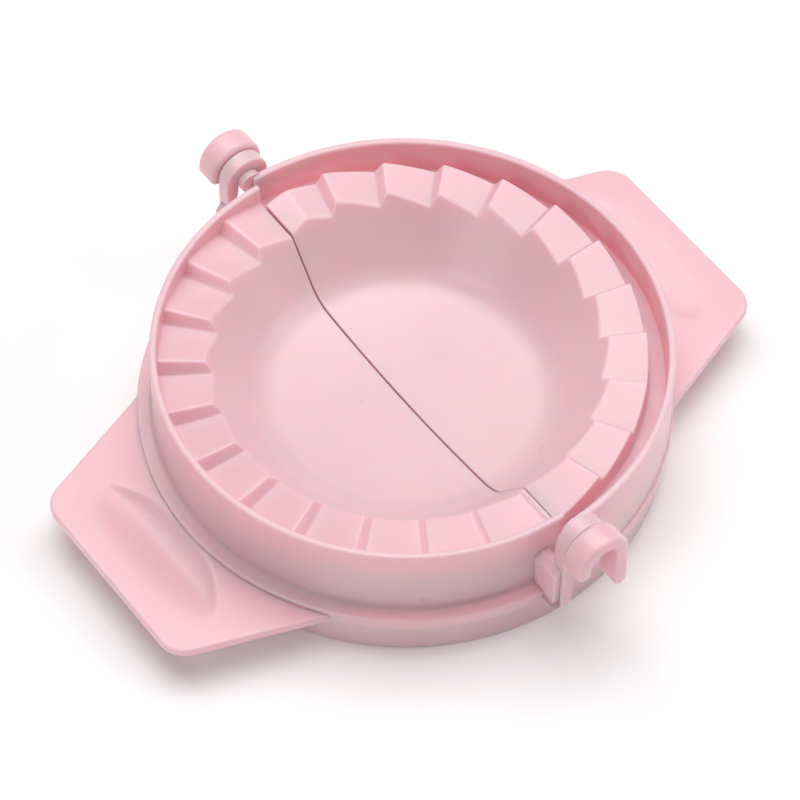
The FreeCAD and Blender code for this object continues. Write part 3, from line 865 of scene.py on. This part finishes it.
# ---- The hinge ----


def edged(points: np.ndarray, rounding: float, softness: float) -> np.ndarray:
    """Rows for prism from points that share one rounding and one softness."""
    return np.column_stack([points, np.full((len(points), 2), (rounding, softness))])


def circle(height: float, radius: float, softness: float) -> np.ndarray:
    """Rows for prism of a circle about the hinge axis."""
    return edged(arc((0.0, height), radius, 0.0, 360.0, ROUND_POINTS)[:-1], 0.0, softness)


def prism(rows: np.ndarray, side: float, first: float, last: float) -> Skin:
    """Round the corners of an outline, carry it along Y and round both ends.

    At each end the outline shrinks by its softness times one less the cosine, while it moves out by its
    softness times the sine, of an angle that runs through a right angle.

    Args:
        rows: Closed outline, each row a corner's X, Z, rounding and softness, mm.
        side: Sign of Y at this end of the hinge.
        first: Distance of one face from the middle of the press, mm.
        last: Distance of the other face, mm.

    Returns:
        The closed skin.
    """
    start, stop = sorted((side * first, side * last))
    outline, owner = rounded(rows[:, :2], rows[:, 2])
    softness = rows[owner, 3]
    into = inward(outline)
    turn = np.radians(np.linspace(90.0, 0.0, END_STEPS))
    shrink = softness[None, :] * (1 - np.cos(turn))[:, None]
    shift = softness[None, :] * (1 - np.sin(turn))[:, None]
    flat = outline[None] + into[None] * shrink[..., None]
    low = np.stack([flat[..., 0], start + shift, flat[..., 1]], axis=-1)
    high = np.stack([flat[::-1, :, 0], stop - shift[::-1], flat[::-1, :, 1]], axis=-1)
    return Skin.swept(np.concatenate([low, high], axis=0))


@dataclass(frozen=True)
class HingePin:
    """Round pin from the rim's wall to the head's inner plate, in mm."""

    end: End
    height: float = 26.5
    radius: float = 2.4
    root: float = 51.8
    stop: float = 57.6
    softness: float = 0.2

    def build(self, material: bpy.types.Material) -> None:
        """Make the pin."""
        skin = prism(circle(self.height, self.radius, self.softness), self.end.side, self.root, self.stop)
        make_piece("hinge_pin_" + self.end.word, skin, Half.BASE, material)


@dataclass(frozen=True)
class HingeHead:
    """Arched head that keeps the ear on its pin, open outwards and below, in mm."""

    end: End
    height: float = 26.5
    radius: float = 6.05
    hollow: float = 3.2
    inner_face: float = 56.7
    outer_face: float = 62.3
    plate: float = 1.6
    plate_softness: float = 0.3
    long_leg: float = 11.0
    short_leg: float = 2.2
    leg_round: float = 1.2
    softness: float = 1.1
    inner_softness: float = 0.8

    def outline(self) -> np.ndarray:
        """Outline of the arch and its two legs.

        Returns:
            Rows for prism.
        """
        centre = (0.0, self.height)
        short_end = self.height - self.short_leg
        long_end = self.height - self.long_leg
        return np.vstack([
            edged(arc(centre, self.radius, 0.0, 180.0, OVER_POINTS), 0.0, self.softness),
            [[-self.radius, short_end, self.leg_round, 0.9], [-self.hollow, short_end, 0.8, 0.6]],
            edged(arc(centre, self.hollow, 180.0, 0.0, HOLLOW_POINTS), 0.0, self.inner_softness),
            [[self.hollow, long_end, self.leg_round, 0.8], [self.radius, long_end, self.leg_round, 0.9]]])

    def build(self, material: bpy.types.Material) -> None:
        """Make the arch and the plate that closes it towards the ear."""
        side = self.end.side
        disc = circle(self.height, (self.radius + self.hollow) / 2, self.plate_softness)
        arch = prism(self.outline(), side, self.inner_face, self.outer_face)
        plate = prism(disc, side, self.inner_face, self.inner_face + self.plate)
        make_piece("hinge_head_" + self.end.word, arch, Half.BASE, material)
        make_piece("hinge_head_plate_" + self.end.word, plate, Half.BASE, material)


@dataclass(frozen=True)
class HookEar:
    """Ear that hangs on a pin, open downwards, with the lug that joins it to the ring, in mm."""

    end: End
    height: float = 26.5
    radius: float = 5.0
    seat: float = 2.45
    throat: float = 2.2
    slot: float = 2.5
    throat_length: float = 0.8
    hook_drop: float = 5.2
    bottom: float = 8.5
    inner_face: float = 53.302
    outer_face: float = 56.502
    lug_start: float = 48.3
    lug_stop: float = 55.7
    lug_half: float = 1.5
    lug_drop: float = 6.0
    lug_slope: float = 1.6
    lug_softness: float = 0.25
    web_top: float = 10.9

    def outline(self) -> np.ndarray:
        """Outline of the ear: a round top, a slot that narrows to a snap throat, a short and a long side.

        Returns:
            Rows for prism.
        """
        centre = (0.0, self.height)
        lean = math.degrees(math.acos(self.throat / self.seat))
        lip = self.height - math.sqrt(self.seat**2 - self.throat**2) - self.throat_length
        hook = self.height - self.hook_drop
        return np.vstack([
            edged(arc(centre, self.radius, 0.0, 180.0, OVER_POINTS), 0.0, 0.35),
            [[-self.radius, hook, 0.4, 0.3], [-self.slot, hook, 0.3, 0.2],
             [-self.slot, lip - self.slot, 0.0, 0.2], [-self.throat, lip, 0.2, 0.1]],
            edged(arc(centre, self.seat, 180.0 + lean, -lean, OVER_POINTS), 0.0, 0.12),
            [[self.throat, lip, 0.2, 0.1], [self.slot, lip - self.slot, 0.0, 0.2],
             [self.slot, self.bottom, 0.3, 0.2], [self.radius, self.bottom, 0.4, 0.3]]])

    def lug(self) -> np.ndarray:
        """Outline of the lug: an upright bar whose top slopes down away from the pin.

        Returns:
            Rows for prism.
        """
        top = self.height - self.lug_drop
        left, right = self.radius - self.lug_half, self.radius + self.lug_half
        corners = np.array([
            [left, self.bottom, 0.2], [right, self.bottom, 0.3], [right, top - self.lug_slope, 0.3],
            [self.radius, top, 0.3], [left, top, 0.2]])
        return np.column_stack([corners, np.full(len(corners), self.lug_softness)])

    def web(self) -> np.ndarray:
        """Outline of the web under the lug, level with the flange.

        Returns:
            Rows for prism.
        """
        right = self.radius + self.lug_half
        corners = np.array([
            [self.slot, self.bottom], [right, self.bottom], [right, self.web_top], [self.slot, self.web_top]])
        return edged(corners, self.lug_softness, self.lug_softness)

    def build(self, material: bpy.types.Material) -> None:
        """Make the ear, its lug and its web. The half is turned, so the end's side changes sign."""
        for name, rows, first, last in (
                ("hook_ear_", self.outline(), self.inner_face, self.outer_face),
                ("ear_lug_", self.lug(), self.lug_start, self.lug_stop),
                ("ear_web_", self.web(), self.lug_start, self.lug_stop)):
            skin = prism(rows, -self.end.side, first, last)
            make_piece(name + self.end.word, skin, Half.FOLDING, material)


# ---- Studio and camera ----


def stand(thing: bpy.types.Object, axes: list[np.ndarray], place: np.ndarray) -> None:
    """Link an object that isn't part of the press, and turn and place it.

    Args:
        thing: Light or camera.
        axes: Directions of its X, Y and Z.
        place: Its place, m.
    """
    matrix = np.eye(4)
    matrix[:3, :3] = np.column_stack(axes)
    matrix[:3, 3] = place
    bpy.context.scene.collection.objects.link(thing)
    thing.matrix_world = Matrix(matrix.tolist())


@dataclass(frozen=True)
class Softbox:
    """A square area light aimed at the middle of the press, sizes in metres and power in watts."""

    name: str
    place: tuple[float, float, float]
    power: float
    size: float = 0.8

    def build(self) -> None:
        """Make the light, its -Z axis turned to the middle and its Y axis nearly along Y."""
        data = bpy.data.lights.new(self.name, "AREA")
        data.shape = "SQUARE"
        data.size = self.size
        data.energy = self.power
        back = np.array(self.place) / np.linalg.norm(self.place)
        nearly_along_y = [0.0, 1.0, 0.001]
        right = np.cross(nearly_along_y, back)
        right /= np.linalg.norm(right)
        stand(bpy.data.objects.new(self.name, data), [right, np.cross(back, right), back], self.place)


@dataclass(frozen=True)
class Studio:
    """White sweep, even surrounding light and soft boxes."""

    half_width: float = 4.0
    floor_lines: int = 9
    surround: str = "FFFFFF"
    surround_strength: float = 0.03
    boxes: tuple[Softbox, ...] = (
        Softbox("overhead_softbox", (0.0, 0.0, 1.4), 6.1),
        Softbox("rear_left_softbox", (-0.09, 0.69, 1.21), 5.0),
        Softbox("rear_softbox", (0.43, 0.55, 1.21), 2.7),
        Softbox("rear_right_softbox", (0.69, 0.09, 1.21), 4.6),
        Softbox("right_softbox", (0.96, -0.74, 0.7), 4.6),
        Softbox("near_left_softbox", (-1.19, -0.25, 0.66), 4.6, 0.7),
    )

    def floor(self) -> None:
        """Make the floor: a square grid whose height is zero everywhere."""
        line = np.linspace(-self.half_width, self.half_width, self.floor_lines)
        x, y = np.meshgrid(line, line, indexing="ij")
        points = np.stack([x, y, np.zeros_like(x)], axis=-1).reshape(-1, 3)
        index = np.arange(len(points)).reshape(len(line), len(line))
        quads, _ = Skin.grid_faces(index)
        mesh = bpy.data.meshes.new("paper_floor")
        mesh.from_pydata(points.tolist(), [], quads[:, ::-1].tolist())
        mesh.update()
        mesh.materials.append(StudioPaper().material())
        floor = bpy.data.objects.new("paper_floor", mesh)
        bpy.context.scene.collection.objects.link(floor)

    def world(self) -> None:
        """Make the even surrounding light."""
        world = bpy.data.worlds.new("studio_surround")
        world.use_nodes = True
        tree = world.node_tree
        tree.nodes.clear()
        settings = {"Color": linear(self.surround), "Strength": self.surround_strength}
        light = add_node(tree, "ShaderNodeBackground", settings, {})
        add_node(tree, "ShaderNodeOutputWorld", {}, {"Surface": light.outputs["Background"]})
        bpy.context.scene.world = world
        bpy.context.scene.view_settings.view_transform = "Standard"

    def build(self) -> None:
        """Make floor, surround and soft boxes."""
        self.floor()
        self.world()
        for box in self.boxes:
            box.build()


@dataclass(frozen=True)
class ProductCamera:
    """Long lens high above the near left of the press, angles in degrees and lengths in mm."""

    azimuth: float = -37.58
    elevation: float = 53.86
    roll: float = 1.03
    distance: float = 793.87
    lens: float = 178.48
    sensor: float = 36.0
    near_clip: float = 10.0
    across: float = -0.97
    up: float = 5.75

    def build(self) -> None:
        """Make the camera: its back axis from azimuth and elevation, then its roll about that axis."""
        turn, lift, roll = (math.radians(angle) for angle in (self.azimuth, self.elevation, self.roll))
        back = np.array([math.sin(turn) * math.cos(lift), -math.cos(turn) * math.cos(lift), math.sin(lift)])
        level = np.cross([0.0, 0.0, 1.0], back)
        level /= np.linalg.norm(level)
        upright = np.cross(back, level)
        right = math.cos(roll) * level + math.sin(roll) * upright
        above = -math.sin(roll) * level + math.cos(roll) * upright
        data = bpy.data.cameras.new("product_camera")
        data.lens = self.lens
        data.sensor_width = self.sensor
        data.clip_start = self.near_clip * MM
        camera = bpy.data.objects.new("product_camera", data)
        place = (back * self.distance + right * self.across + above * self.up) * MM
        stand(camera, [right, above, back], place)
        bpy.context.scene.camera = camera


def main() -> None:
    """Build every sub-assembly in order."""
    logging.basicConfig(level=logging.INFO, format="%(name)s %(message)s")
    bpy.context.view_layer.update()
    plastic = MouldedPolypropylene().material()
    HalfRing(Half.BASE, Crimp(crest=26.6, first_step=-90.0, bevelled_seam=True)).build(plastic)
    HalfRing(Half.FOLDING, Crimp(crest=25.8, first_step=-92.5, bevelled_seam=False)).build(plastic)
    for half in Half:
        Wing(half).build(plastic)
    for end in End:
        HingePin(end).build(plastic)
        HingeHead(end).build(plastic)
        HookEar(end).build(plastic)
    Studio().build()
    ProductCamera().build()


if __name__ == "__main__":
    main()
